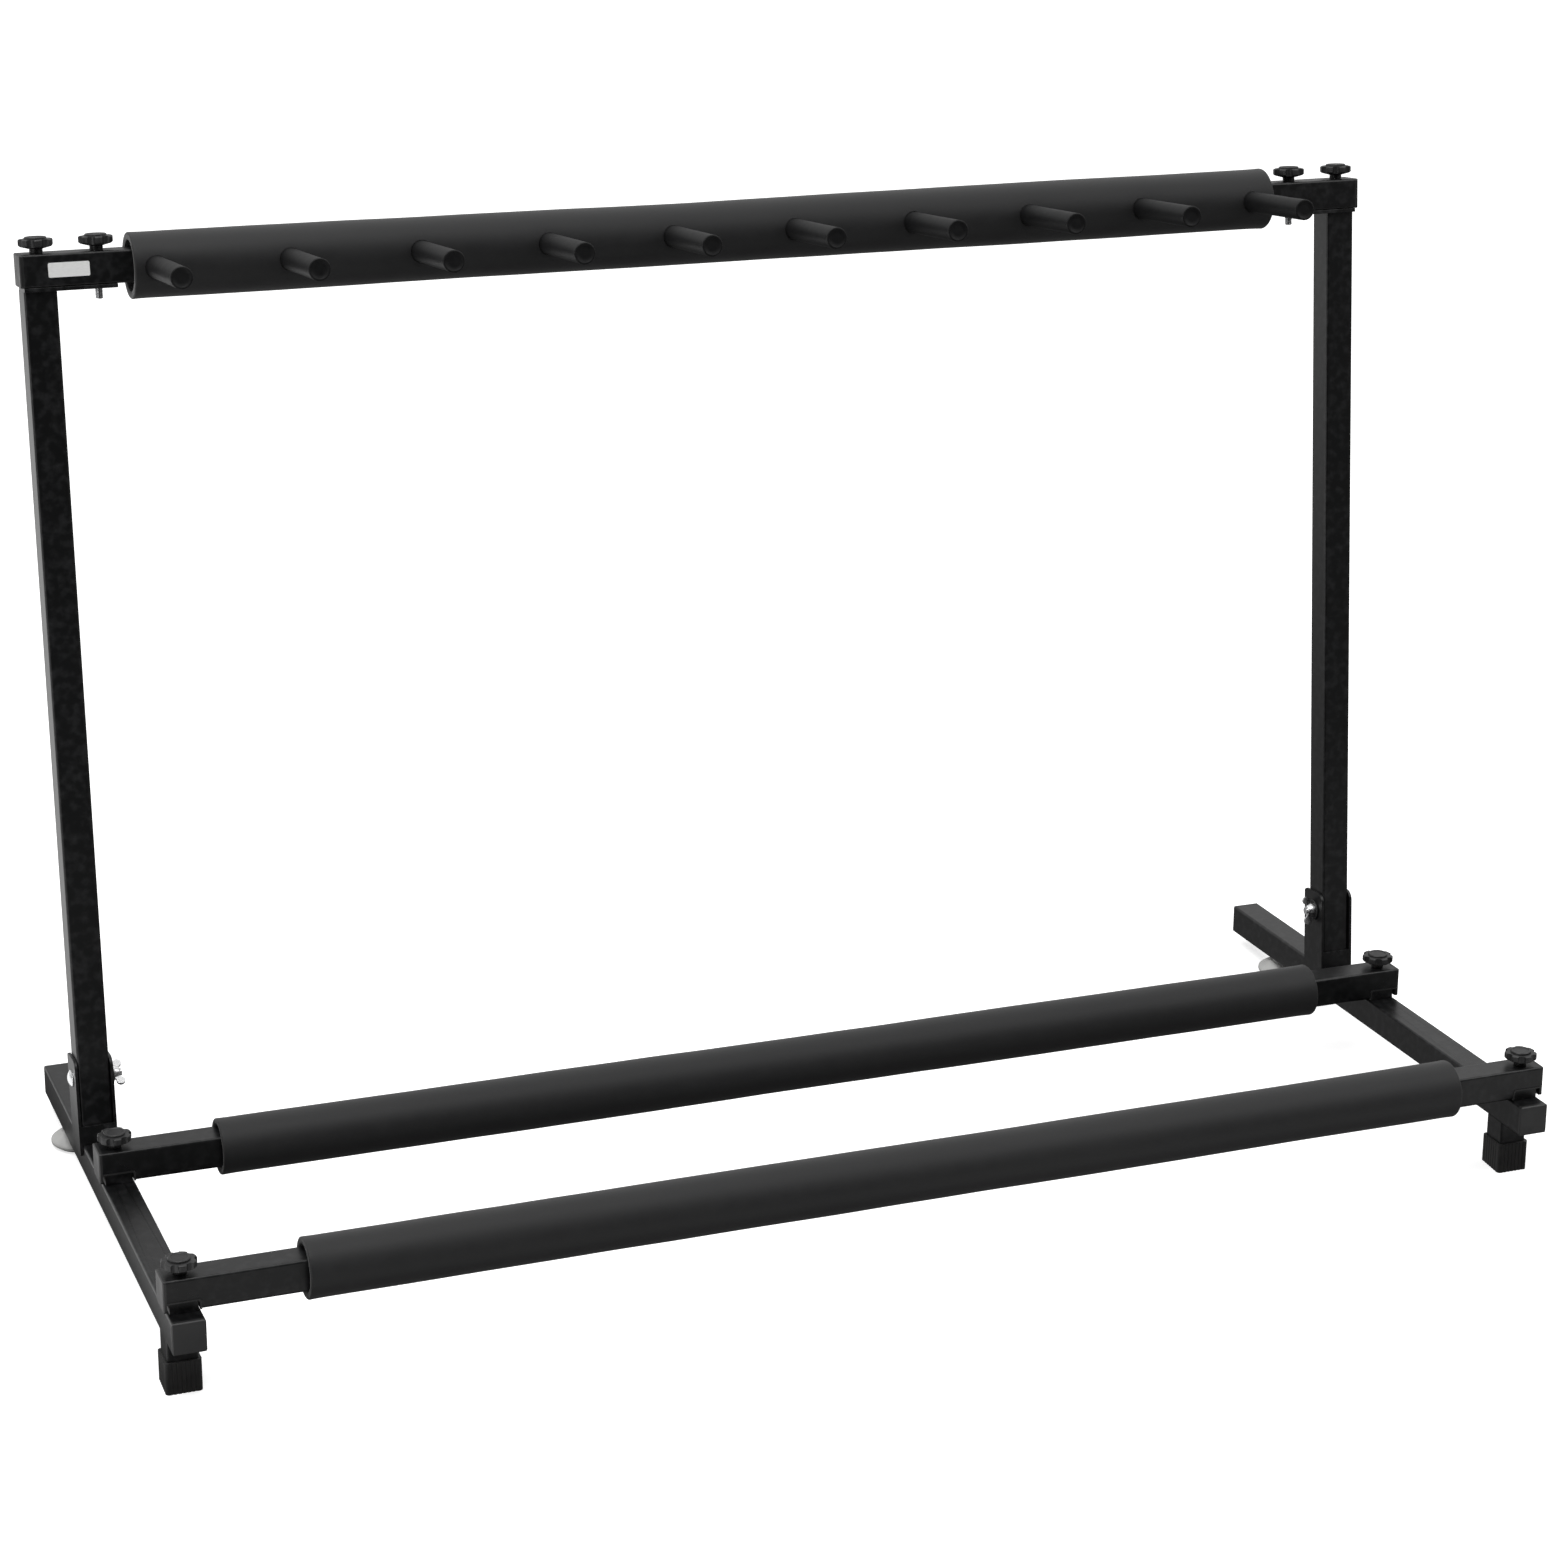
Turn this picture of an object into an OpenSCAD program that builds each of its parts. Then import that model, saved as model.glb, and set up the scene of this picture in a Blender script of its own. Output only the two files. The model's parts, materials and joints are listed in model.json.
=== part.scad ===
// Folding guitar rack for nine instruments.
// A tubular base of two side rails and two padded cross bars carries a
// padded neck bar on two uprights, which fold forward on pivot bolts.
//
// Three frames are used, each with X across the rack:
//   world      floor at z = 0, centred on the footprint
//   rail frame origin between the front ends of the rails, at their top face
//   mast frame origin on the pivot line, Z up the uprights

/* [Tubes] */
// Side of the square tube used for rails, bars and uprights
tube = 25; // [20:0.5:32]
// Wall of that tube
tube_wall = 1.5; // [1:0.1:2.5]
// Outer corner radius of that tube
tube_corner = 2; // [1:0.1:3]

/* [Base] */
// Length of each side rail, end plugs included
rail_len = 500; // [420:1:640]
// Distance between the centre lines of the two rails
rail_spacing = 1100; // [1040:1:1400]
// Length of every cross bar, end caps included, for 25 mm rails 1100 mm apart
bar_len = 1130; // [1070:1:1430]
// Centre of the front bar, back from the front of the rails
front_bar_y = 25.5; // [24:0.5:60]
// Centre of the rear bar, back from the front of the rails
rear_bar_y = 258; // [200:1:275]
// Daylight between the rails and the bars above them
bar_lift = 2; // [1:0.1:5]
// Height of the notch under each bar end
notch_h = 8.3; // [6:0.1:12]
// Air on each side of the square seat block in its notch
seat_air = 0.7; // [0.3:0.1:3]

/* [Legs and feet] */
// Side of the square front leg tube
leg_side = 23; // [16:0.5:25]
// Centre of the front leg, back from the front of the rails
leg_y = 39.5; // [25:0.5:80]
// Drop from the rail's underside to the floor at the front leg
front_drop = 42.5; // [36:0.5:70]
// Wall of the rubber foot around the leg
foot_wall = 2; // [1.5:0.1:4]
// Height of the rubber foot
foot_h = 24; // [16:0.5:30]
// Centre of the rear foot, back from the front of the rails
rear_foot_y = 427; // [380:1:480]
// Drop from the rail's underside to the floor at the rear foot
rear_drop = 15.5; // [13.5:0.5:24]
// Diameter of the rear foot
rear_foot_d = 42; // [30:1:50]

/* [Pivot] */
// Pivot line, back from the front of the rails
pivot_y = 347; // [330:1:400]
// Pivot line above the rail's top face
pivot_h = 50; // [46:0.5:60]
// Angle of the uprights behind square to the rails
lean = 5; // [0:0.5:12]
// Thickness of the bracket plate
plate_t = 2.2; // [1.5:0.1:3]
// Height of the bracket's front web above the rail
web_h = 15; // [8:0.5:20]
// Height of the bracket's ears above the pivot
ear_rise = 17; // [13:0.5:24]
// Overlap of the bracket's ears on the rail's sides
ear_drop = 8; // [5:0.5:15]
// Diameter of the pivot bolt
bolt_d = 6; // [5:0.5:8]

/* [Mast] */
// Length of each upright
upright_len = 663.5; // [560:0.5:800]
// Reach of the upright below the pivot
upright_tail = 47; // [40:0.5:48]
// Length of the plate that joins upright and neck bar
top_plate_len = 70; // [60:1:90]
// Thickness of that plate
top_plate_t = 3; // [2:0.1:5]
// Spacing of the two knobs at each end of the neck bar
knob_spacing = 45; // [40:1:60]
// How far the neck bar stands ahead of the uprights
bar_ahead = 3.5; // [0:0.5:6]

/* [Pegs] */
// Number of pegs on the neck bar
peg_count = 10; // [4:2:10]
// Distance between neighbouring pegs
peg_pitch = 102.6; // [60:0.1:104]
// Shift of the row of pegs from the middle of the bar
peg_shift = -3.2; // [-5:0.1:5]
// Height of the pegs below the middle of the bar
peg_drop = 1; // [0:0.1:3]
// Outer diameter of a peg's sleeve
peg_d = 17; // [14:0.5:22]
// Diameter of a peg's steel rod
peg_rod_d = 9; // [6:0.5:12]
// Reach of the pegs in front of the neck bar's padding
peg_reach = 89; // [60:1:110]

/* [Padding] */
// Outer diameter of the neck bar's padding on a 25 mm tube
neck_pad_d = 50; // [45:1:60]
// Wall of the neck bar's padding
neck_pad_wall = 5.5; // [3:0.1:6]
// Length of the neck bar's padding
neck_pad_len = 960; // [940:1:980]
// Shift of the neck bar's padding from the middle
neck_pad_shift = -1.5; // [-5:0.5:5]
// Sag of the neck bar's padding on its bar
neck_pad_sag = 1; // [0:0.1:1.5]
// Outer diameter of the cross bars' padding on a 25 mm tube
bar_pad_d = 43.5; // [42:0.5:50]
// Length of the front bar's padding
front_pad_len = 944; // [900:1:960]
// Length of the rear bar's padding
rear_pad_len = 952; // [900:1:960]
// Shift of the front bar's padding from the middle
front_pad_shift = 11.5; // [-12:0.5:12]
// Shift of the rear bar's padding from the middle
rear_pad_shift = 5; // [-12:0.5:12]

/* [Hardware] */
// Diameter over the lobes of a knob
knob_d = 26; // [22:0.5:32]
// Height of a knob
knob_h = 12; // [9:0.5:14]
// Number of lobes on a knob
knob_lobes = 7; // [5:1:8]
// Diameter of the knobs' screws
screw_d = 6; // [5:0.5:8]
// Length of screw that shows under the neck bar's plate
screw_tip = 9; // [4:0.5:15]
// Span of a wing nut over its wings
wing_span = 24.5; // [20:0.5:34]

/* [Hidden] */
rail_x = rail_spacing / 2;
inner_knob_x = rail_x - knob_spacing;

// Each knob: name, x, and the bar it clamps
KNOBS = [
    ["front_left", -rail_x, "front"], ["front_right", rail_x, "front"],
    ["rear_left", -rail_x, "rear"], ["rear_right", rail_x, "rear"],
    ["top_outer_left", -rail_x, "neck"], ["top_inner_left", -inner_knob_x, "neck"],
    ["top_inner_right", inner_knob_x, "neck"], ["top_outer_right", rail_x, "neck"]];

STEEL = [0.09, 0.09, 0.10];
PLASTIC = [0.07, 0.07, 0.08];
RUBBER = [0.12, 0.12, 0.12];
FOAM = [0.16, 0.16, 0.17];
ZINC = [0.82, 0.83, 0.85];
GREY = [0.72, 0.72, 0.70];

arc = 48;             // facets of round parts
eps = 0.01;           // overlap of cutting shapes
clear = 0.3;          // air between pieces that slide past each other
run_gap = 0.08;       // radial air around a turning bolt or screw
snug = 0.02;          // radial air around a moulded-in part
half = tube / 2;
// The bars grow with the rails' spacing, and bars and padding with the tube.
set_spacing = 1100;
set_tube = 25;
bar_end = (bar_len + rail_spacing - set_spacing + tube - set_tube) / 2;
neck_pad_od = neck_pad_d + sqrt(2) * (tube - set_tube);
bar_pad_od = bar_pad_d + sqrt(2) * (tube - set_tube);
bore_side = tube - 2 * tube_wall;

// The floor's slope against the rails follows from the two drops.
tilt = atan((front_drop - rear_drop) / (rear_foot_y - leg_y));
floor_z = leg_y * sin(tilt) + (tube + front_drop) * cos(tilt);
mid_y = (rail_len * cos(tilt) - tube * sin(tilt)) / 2;

// End plugs and caps
plug_t = 3;
plug_chamfer = 0.8;
plug_depth = 14;
cap_t = bar_end - (rail_x + half);
notch_w = tube;
notch_corner = 2;
liner_t = 1.3;
seat_h = bar_lift + notch_h - liner_t;
seat_side = notch_w - 2 * (liner_t + seat_air);
seat_chamfer = 1.3;

// Mast heights, measured from the pivot
upright_top = upright_len - upright_tail;
bar_base = upright_top + top_plate_t;
bar_mid = bar_base + half;
bar_top = bar_base + tube;
pad_r = neck_pad_od / 2;
peg_tip = pad_r + peg_reach;
peg_cap = 4;
peg_hole_gap = 0.4;

// Brackets
ear_gap = clear;
ear_in = half + ear_gap;
ear_out = ear_in + plate_t;
web_gap = 0.2;
ear_front = half + web_gap + plate_t;
ear_back = half + 4;
ear_corner_front = 8;
ear_corner_back = 4;

// Pivot hardware
bolt_head_d = 13.5;
bolt_head_h = 3.8;
washer_d = 18;
washer_t = 1.6;
nut_base_d = 12;
nut_top_d = 9;
nut_h = 5.5;
wing_t = 2.2;
wing_r = 3.4;
wing_rise = 5;
wing_angles = [56, 10];

// Knob proportions
knob_rim_h = 7.2;
knob_boss_h = 1.6;
knob_stem_d = 10;
knob_stem_h = 3.2;
knob_seat_gap = 0.2;
knob_scoop_r = 3.4;
knob_scoop_depth = 2.4;
knob_grip = 7;        // length of screw moulded into the knob
thread_pitch = 1;
thread_depth = 0.5;
screw_hole = screw_d + 1;
seat_screw_end = -3;  // below the rail's top face
neck_plug_depth = bar_end - plug_t - rail_x - screw_hole / 2 - 1;

// ---------- frames ----------

module rail_frame() {
    translate([0, -mid_y, floor_z]) rotate([-tilt, 0, 0]) children();
}

module mast_frame() {
    rail_frame() translate([0, pivot_y, pivot_h]) rotate([-lean, 0, 0]) children();
}

// The neck bar's own frame: the mast frame moved forward to the bar
module neck_frame() {
    mast_frame() translate([0, -bar_ahead, 0]) children();
}

// Keeps what stands above the floor
module above_floor() {
    intersection() {
        children();
        translate([-rail_spacing, -rail_len, 0])
            cube([2 * rail_spacing, 2 * rail_len, 2 * upright_len]);
    }
}

// side is -1 for the left and 1 for the right
module at_side(side) {
    if (side > 0) children();
    else mirror([1, 0, 0]) children();
}

// ---------- shared shapes ----------

module rounded_square(s, r) {
    square([s, s - 2 * r], center = true);
    square([s - 2 * r, s], center = true);
    for (x = [-1, 1], y = [-1, 1])
        translate([x * (s / 2 - r), y * (s / 2 - r)]) circle(r = r, $fn = arc);
}

module tube_profile(s) {
    difference() {
        rounded_square(s, tube_corner);
        rounded_square(s - 2 * tube_wall, tube_corner / 2);
    }
}

// Square tube along X, Y or Z from a to b on the given axis
module tube_x(a, b) {
    translate([a, 0, 0]) rotate([90, 0, 90]) linear_extrude(b - a) tube_profile(tube);
}

module tube_y(a, b) {
    translate([0, b, 0]) rotate([90, 0, 0]) linear_extrude(b - a) tube_profile(tube);
}

module tube_z(a, b, s = tube) {
    translate([0, 0, a]) linear_extrude(b - a) tube_profile(s);
}

// Square plate of thickness t on z = 0, with its upper edges chamfered
module chamfered_plate(s, t, c) {
    outline = [[-s / 2, 0], [s / 2, 0], [s / 2, t - c], [s / 2 - c, t],
               [-s / 2 + c, t], [-s / 2, t - c]];
    intersection() {
        linear_extrude(t) rounded_square(s, tube_corner);
        rotate([90, 0, 0]) linear_extrude(s, center = true) polygon(outline);
        rotate([90, 0, 90]) linear_extrude(s, center = true) polygon(outline);
    }
}

// End plug whose flange stands on z = 0 and whose body reaches down the tube
module end_plug(t) {
    chamfered_plate(tube, t, plug_chamfer);
    difference() {
        translate([0, 0, -plug_depth]) linear_extrude(plug_depth + eps)
            rounded_square(bore_side - 2 * snug, tube_corner / 2);
        translate([0, 0, -plug_depth - eps]) linear_extrude(plug_depth - 2)
            rounded_square(bore_side - 5, tube_corner / 2);
    }
}

// ---------- base: rails, legs and feet ----------

module rail(side) {
    color(STEEL) difference() {
        rail_frame() at_side(side) difference() {
            translate([rail_x, 0, -half]) tube_y(plug_t, rail_len - plug_t);
            for (y = [front_bar_y, rear_bar_y])
                translate([rail_x, y, -tube_wall - 1])
                    cylinder(d = screw_hole, h = tube_wall + 2, $fn = arc);
        }
        under_rear_foot(side)
            cylinder(d = foot_screw_d + 2 * snug, h = rear_drop + half, $fn = arc);
    }
}

module rail_plugs() {
    color(PLASTIC) rail_frame() for (side = [-1, 1]) at_side(side) {
        translate([rail_x, plug_t, -half]) rotate([90, 0, 0]) end_plug(plug_t);
        translate([rail_x, rail_len - plug_t, -half]) rotate([-90, 0, 0]) end_plug(plug_t);
    }
}

foot_floor = 3;
foot_air = 0.1;
foot_outer = leg_side + 2 * (foot_wall + foot_air);
// The leg stops above the foot's floor at its shallow, rear edge.
leg_end = -tube - front_drop + foot_floor + foot_outer / 2 * tan(tilt);

module front_leg(side) {
    color(STEEL) rail_frame() at_side(side)
        translate([rail_x, leg_y, 0]) tube_z(leg_end, -tube, leg_side);
}

rib_count = 7;
rib_r = 0.9;
module front_foot(side) {
    foot_low = -tube - front_drop - foot_outer;
    foot_top = -tube - front_drop + foot_h;
    pitch = (foot_outer - 2 * tube_corner) / rib_count;
    color(RUBBER) above_floor() rail_frame() at_side(side)
        translate([rail_x, leg_y, 0]) difference() {
            translate([0, 0, foot_low]) linear_extrude(foot_top - foot_low) difference() {
                rounded_square(foot_outer, tube_corner + foot_wall / 2);
                for (turn = [0 : 90 : 270], i = [1 : rib_count - 1])
                    rotate(turn) translate([foot_outer / 2 + rib_r * 0.55, (i - rib_count / 2) * pitch])
                        circle(r = rib_r, $fn = 24);
            }
            translate([0, 0, leg_end]) linear_extrude(2 * foot_h)
                rounded_square(leg_side + 2 * foot_air, tube_corner);
        }
}

foot_pad_t = 2;
foot_pad_d = rear_foot_d - 8;
foot_rim_h = 3.5;
foot_dome_h = rear_drop - foot_pad_t - foot_rim_h - 2;
foot_neck_d = 16;
foot_screw_d = 5;
foot_screw_head_d = 9;
foot_screw_head_h = 3;

// Places its children on the floor under a rear foot
module under_rear_foot(side) {
    drop = tube + rear_drop;
    at_side(side) translate([rail_x, rear_foot_y * cos(tilt) - drop * sin(tilt) - mid_y, 0]) children();
}

module rear_foot(side) {
    rim_r = rear_foot_d / 2;
    dome_r = (pow(rim_r - 0.5, 2) + pow(foot_dome_h, 2)) / (2 * foot_dome_h);
    color(GREY) difference() {
        under_rear_foot(side) {
            translate([0, 0, foot_pad_t]) rotate_extrude($fn = arc)
                polygon([[0, 0], [rim_r - 1.5, 0], [rim_r, 1.2], [rim_r, foot_rim_h - 0.6],
                         [rim_r - 0.6, foot_rim_h], [0, foot_rim_h]]);
            translate([0, 0, foot_pad_t + foot_rim_h]) intersection() {
                translate([0, 0, foot_dome_h - dome_r]) sphere(r = dome_r, $fn = 96);
                cylinder(r = rim_r, h = foot_dome_h + 1, $fn = arc);
            }
            translate([0, 0, foot_pad_t + foot_rim_h])
                cylinder(d = foot_neck_d, h = rear_drop, $fn = arc);
        }
        // The neck is cut off by the rail's underside.
        rail_frame() translate([-rail_spacing, 0, -tube])
            cube([2 * rail_spacing, rail_len, 2 * tube]);
        under_rear_foot(side) {
            cylinder(d = foot_screw_d + 2 * snug, h = 2 * rear_drop, $fn = arc);
            cylinder(d = foot_screw_head_d + 0.4, h = foot_pad_t + foot_screw_head_h + 0.2, $fn = arc);
        }
    }
}

module rear_foot_pads() {
    color(RUBBER) for (side = [-1, 1]) under_rear_foot(side)
        cylinder(d = foot_pad_d, h = foot_pad_t, $fn = arc);
}

module rear_foot_screws() {
    color(ZINC) for (side = [-1, 1]) under_rear_foot(side) {
        translate([0, 0, foot_pad_t]) cylinder(d = foot_screw_head_d, h = foot_screw_head_h, $fn = arc);
        cylinder_from = foot_pad_t + foot_screw_head_h - eps;
        translate([0, 0, cylinder_from])
            cylinder(d = foot_screw_d, h = rear_drop + 4 - cylinder_from, $fn = arc);
    }
}

// ---------- base: pivot brackets and hardware ----------

// Side view of an ear in the mast frame, as [y, z], with two round corners
module ear_outline() {
    low = -pivot_h - 2 * ear_drop;
    union() {
        translate([-ear_front, low]) square([ear_front + ear_back, ear_rise - ear_corner_front - low]);
        translate([-ear_front + ear_corner_front, low])
            square([ear_front + ear_back - ear_corner_front - ear_corner_back, ear_rise - low]);
        translate([-ear_front + ear_corner_front, ear_rise - ear_corner_front])
            circle(r = ear_corner_front, $fn = arc);
        translate([ear_back - ear_corner_back, ear_rise - ear_corner_back])
            circle(r = ear_corner_back, $fn = arc);
        translate([ear_back - ear_corner_back - 1, low])
            square([ear_corner_back + 1, ear_rise - ear_corner_back - low]);
    }
}

module pivot_bracket(side) {
    low = 2 * pivot_h;
    color(STEEL) intersection() {
        at_side(side) difference() {
            union() {
                mast_frame() for (x = [rail_x - ear_out, rail_x + ear_in])
                    translate([x, 0, 0]) rotate([90, 0, 90]) linear_extrude(plate_t) ear_outline();
                intersection() {
                    mast_frame() translate([rail_x - ear_out, -ear_front, -low])
                        cube([2 * ear_out, plate_t, 2 * low]);
                    rail_frame() cube([2 * rail_x, rail_len, web_h]);
                }
            }
            mast_frame() translate([rail_x - ear_out - 1, 0, 0]) rotate([0, 90, 0])
                cylinder(d = bolt_d + 2 * run_gap, h = 2 * ear_out + 2, $fn = arc);
        }
        rail_frame() translate([-rail_spacing, 0, -ear_drop])
            cube([2 * rail_spacing, rail_len, 4 * pivot_h]);
    }
}

// Carriage bolt with its domed head outside the rack and its tail inside
module pivot_bolt(side) {
    tail = ear_out + washer_t + nut_h + 1.5;
    dome_r = (pow(bolt_head_d / 2, 2) + pow(bolt_head_h - 1, 2)) / (2 * (bolt_head_h - 1));
    color(ZINC) mast_frame() at_side(side) translate([rail_x, 0, 0]) rotate([0, 90, 0]) {
        translate([0, 0, -tail]) cylinder(d = bolt_d, h = tail + ear_out + eps, $fn = arc);
        translate([0, 0, ear_out]) cylinder(d = bolt_head_d, h = 1, $fn = arc);
        intersection() {
            translate([0, 0, ear_out + bolt_head_h - dome_r]) sphere(r = dome_r, $fn = 64);
            translate([0, 0, ear_out + 1 - eps]) cylinder(d = bolt_head_d, h = bolt_head_h, $fn = arc);
        }
    }
}

module pivot_washers() {
    color(PLASTIC) mast_frame() for (side = [-1, 1]) at_side(side)
        translate([rail_x - ear_out - washer_t, 0, 0]) rotate([0, 90, 0]) difference() {
            cylinder(d = washer_d, h = washer_t, $fn = arc);
            translate([0, 0, -1]) cylinder(d = bolt_d + 2 * run_gap, h = washer_t + 2, $fn = arc);
        }
}

// One wing, rising away from the hub in the XZ plane
module wing() {
    reach = wing_span / 2 - wing_r;
    rotate([90, 0, 0]) linear_extrude(wing_t, center = true) difference() {
        union() {
            translate([reach, wing_rise]) circle(r = wing_r, $fn = 32);
            polygon([[nut_top_d / 2 - 1, 0.8], [nut_base_d / 2 - 0.4, 0.8],
                     [reach + wing_r * 0.94, wing_rise - wing_r * 0.35],
                     [reach - wing_r * 0.94, wing_rise + wing_r * 0.35],
                     [nut_top_d / 2 - 1, nut_h - 0.6]]);
        }
        translate([-1, -1]) square([bolt_d / 2 + 1.4, 2 * wing_rise]);
    }
}

module wing_nut(side) {
    turn = wing_angles[side > 0 ? 1 : 0];
    color(ZINC) mast_frame() at_side(side)
        translate([rail_x - ear_out - washer_t - snug, 0, 0]) rotate([0, -90, 0]) rotate(turn) difference() {
            union() {
                rotate_extrude($fn = arc)
                    polygon([[0, 0], [nut_base_d / 2, 0], [nut_base_d / 2, 1.4],
                             [nut_top_d / 2, nut_h - 0.5], [nut_top_d / 2 - 0.5, nut_h], [0, nut_h]]);
                for (flip = [0, 180]) rotate(flip) wing();
            }
            translate([0, 0, -1]) cylinder(d = bolt_d + 2 * run_gap, h = nut_h + 12, $fn = arc);
        }
}

// ---------- base: cross bars ----------

module bar_seats() {
    color(STEEL) rail_frame() for (side = [-1, 1], y = [front_bar_y, rear_bar_y]) at_side(side)
        translate([rail_x, y, 0]) difference() {
            rotate([90, 0, 0]) linear_extrude(seat_side, center = true)
                polygon([[-seat_side / 2, 0], [seat_side / 2, 0],
                         [seat_side / 2, seat_h - seat_chamfer],
                         [seat_side / 2 - seat_chamfer, seat_h],
                         [seat_chamfer - seat_side / 2, seat_h],
                         [-seat_side / 2, seat_h - seat_chamfer]]);
            translate([0, 0, -1]) cylinder(d = screw_d + 2 * run_gap, h = seat_h + 2, $fn = arc);
        }
}

// Notch in a bar's end, seen from the front, from the bar's lower edge
module notch_profile(grow) {
    w = notch_w / 2 + grow;
    h = notch_h + grow;
    union() {
        translate([-w, -tube]) square([2 * w + tube, tube + h - notch_corner]);
        translate([-w + notch_corner, -tube]) square([2 * w + tube, tube + h]);
        translate([-w + notch_corner, h - notch_corner]) circle(r = notch_corner, $fn = arc);
    }
}

// Moves to the notch over the right rail, at a bar's lower edge
module at_notch(bar_y) {
    translate([rail_x, bar_y, bar_lift]) rotate([90, 0, 0]) children();
}

module cross_bar(bar_y) {
    color(STEEL) rail_frame() difference() {
        translate([0, bar_y, bar_lift + half]) tube_x(-rail_x - half, rail_x + half);
        for (side = [-1, 1]) at_side(side) {
            at_notch(bar_y) linear_extrude(2 * tube, center = true) notch_profile(0);
            translate([rail_x, bar_y, bar_lift + half]) cylinder(d = screw_hole, h = tube, $fn = arc);
        }
    }
}

// Moulded cap: end flange, tongue in the tube and lining of the notch
module bar_caps(bar_y) {
    lip = 0.4;
    body_h = tube - notch_h - tube_wall - 2 * snug;
    tongue = half - screw_hole / 2 - 1;
    tongue_w = bore_side - tube_corner;
    color(PLASTIC) rail_frame() for (side = [-1, 1]) at_side(side) {
        difference() {
            union() {
                translate([rail_x + half, bar_y, bar_lift + half]) rotate([0, 90, 0])
                    chamfered_plate(tube, cap_t, plug_chamfer);
                translate([rail_x + half - tongue, bar_y - tongue_w / 2, bar_lift + notch_h - eps])
                    cube([tongue + eps, tongue_w, body_h]);
                at_notch(bar_y) linear_extrude(tube + 2 * lip, center = true) intersection() {
                    difference() {
                        notch_profile(-snug);
                        notch_profile(-liner_t);
                    }
                    translate([-tube, 0]) square([tube + half, tube]);
                }
            }
            translate([rail_x, bar_y, bar_lift]) cylinder(d = screw_hole, h = tube / 2, $fn = arc);
        }
    }
}

module pad_tube(outer, inner, length) {
    rotate([0, 90, 0]) difference() {
        cylinder(d = outer, h = length, center = true, $fn = 64);
        cylinder(d = inner, h = length + 2, center = true, $fn = 64);
    }
}

bar_pad_bore = 2 * (half * sqrt(2) - tube_corner * (sqrt(2) - 1) + clear);

module bar_pad(bar_y, length, shift) {
    color(FOAM) rail_frame() translate([shift, bar_y, bar_lift + half])
        pad_tube(bar_pad_od, bar_pad_bore, length);
}

// ---------- mast ----------

module upright(side) {
    color(STEEL) mast_frame() at_side(side) difference() {
        translate([rail_x, 0, 0]) tube_z(-upright_tail, upright_top);
        translate([rail_x - tube, 0, 0]) rotate([0, 90, 0])
            cylinder(d = bolt_d + 2 * run_gap, h = 2 * tube, $fn = arc);
    }
}

module top_plate(side) {
    color(STEEL) mast_frame() at_side(side) difference() {
        translate([rail_x + half - top_plate_len, -half - bar_ahead, upright_top])
            cube([top_plate_len, tube, top_plate_t]);
        for (x = [inner_knob_x, rail_x])
            translate([x, -bar_ahead, upright_top - 1])
                cylinder(d = screw_d + 2 * run_gap, h = top_plate_t + 2, $fn = arc);
    }
}

module neck_bar() {
    color(STEEL) neck_frame() difference() {
        translate([0, 0, bar_mid]) tube_x(-bar_end + plug_t, bar_end - plug_t);
        for (x = [-rail_x, -inner_knob_x, inner_knob_x, rail_x])
            translate([x, 0, bar_base - 1]) cylinder(d = screw_hole, h = tube + 2, $fn = arc);
    }
}

// The plugs stay short, clear of the outer screws.
module neck_bar_plugs() {
    color(PLASTIC) neck_frame() for (side = [-1, 1]) at_side(side)
        translate([bar_end - plug_t, 0, bar_mid]) rotate([0, 90, 0]) {
            chamfered_plate(tube, plug_t, plug_chamfer);
            translate([0, 0, 1 - neck_plug_depth]) linear_extrude(neck_plug_depth)
                rounded_square(bore_side - 2 * snug, tube_corner / 2);
        }
}

function peg_x(i) = peg_shift + (i - (peg_count + 1) / 2) * peg_pitch;

// Moves to peg i, with Z pointing out along it from the bar's centre
module at_peg(i) {
    translate([peg_x(i), 0, bar_mid - peg_drop]) rotate([90, 0, 0]) children();
}

module neck_bar_pad() {
    color(FOAM) neck_frame() difference() {
        translate([neck_pad_shift, 0, bar_mid - neck_pad_sag])
            pad_tube(neck_pad_od, neck_pad_od - 2 * neck_pad_wall, neck_pad_len);
        for (i = [1 : peg_count])
            at_peg(i) translate([0, 0, half])
                cylinder(d = peg_d + 2 * peg_hole_gap, h = neck_pad_od, $fn = arc);
    }
}

module peg_rods() {
    color(STEEL) neck_frame() for (i = [1 : peg_count])
        at_peg(i) translate([0, 0, half])
            cylinder(d = peg_rod_d, h = peg_tip - peg_cap - half, $fn = arc);
}

module peg_sleeve(i) {
    edge = 0.8;
    r = peg_d / 2;
    start = half + 0.2;
    color(FOAM) neck_frame() at_peg(i) difference() {
        rotate_extrude($fn = arc)
            polygon([[0, start], [r, start], [r, peg_tip - edge], [r - edge, peg_tip], [0, peg_tip]]);
        translate([0, 0, start - 1])
            cylinder(d = peg_rod_d + 2 * snug, h = peg_tip - peg_cap - start + 1, $fn = arc);
    }
}

label_w = 31;
label_h = 11;
label_t = 0.3;
label_corner = 1.2;
label_in = 21;        // from the end of the bar
label_low = 7.2;

module blank_label() {
    color("white") neck_frame()
        translate([-bar_end + label_in + label_w / 2, -half, bar_base + label_low + label_h / 2])
            rotate([90, 0, 0]) linear_extrude(label_t) {
                square([label_w, label_h - 2 * label_corner], center = true);
                square([label_w - 2 * label_corner, label_h], center = true);
                for (x = [-1, 1], y = [-1, 1])
                    translate([x * (label_w / 2 - label_corner), y * (label_h / 2 - label_corner)])
                        circle(r = label_corner, $fn = 32);
            }
}

// ---------- knobs ----------

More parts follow.
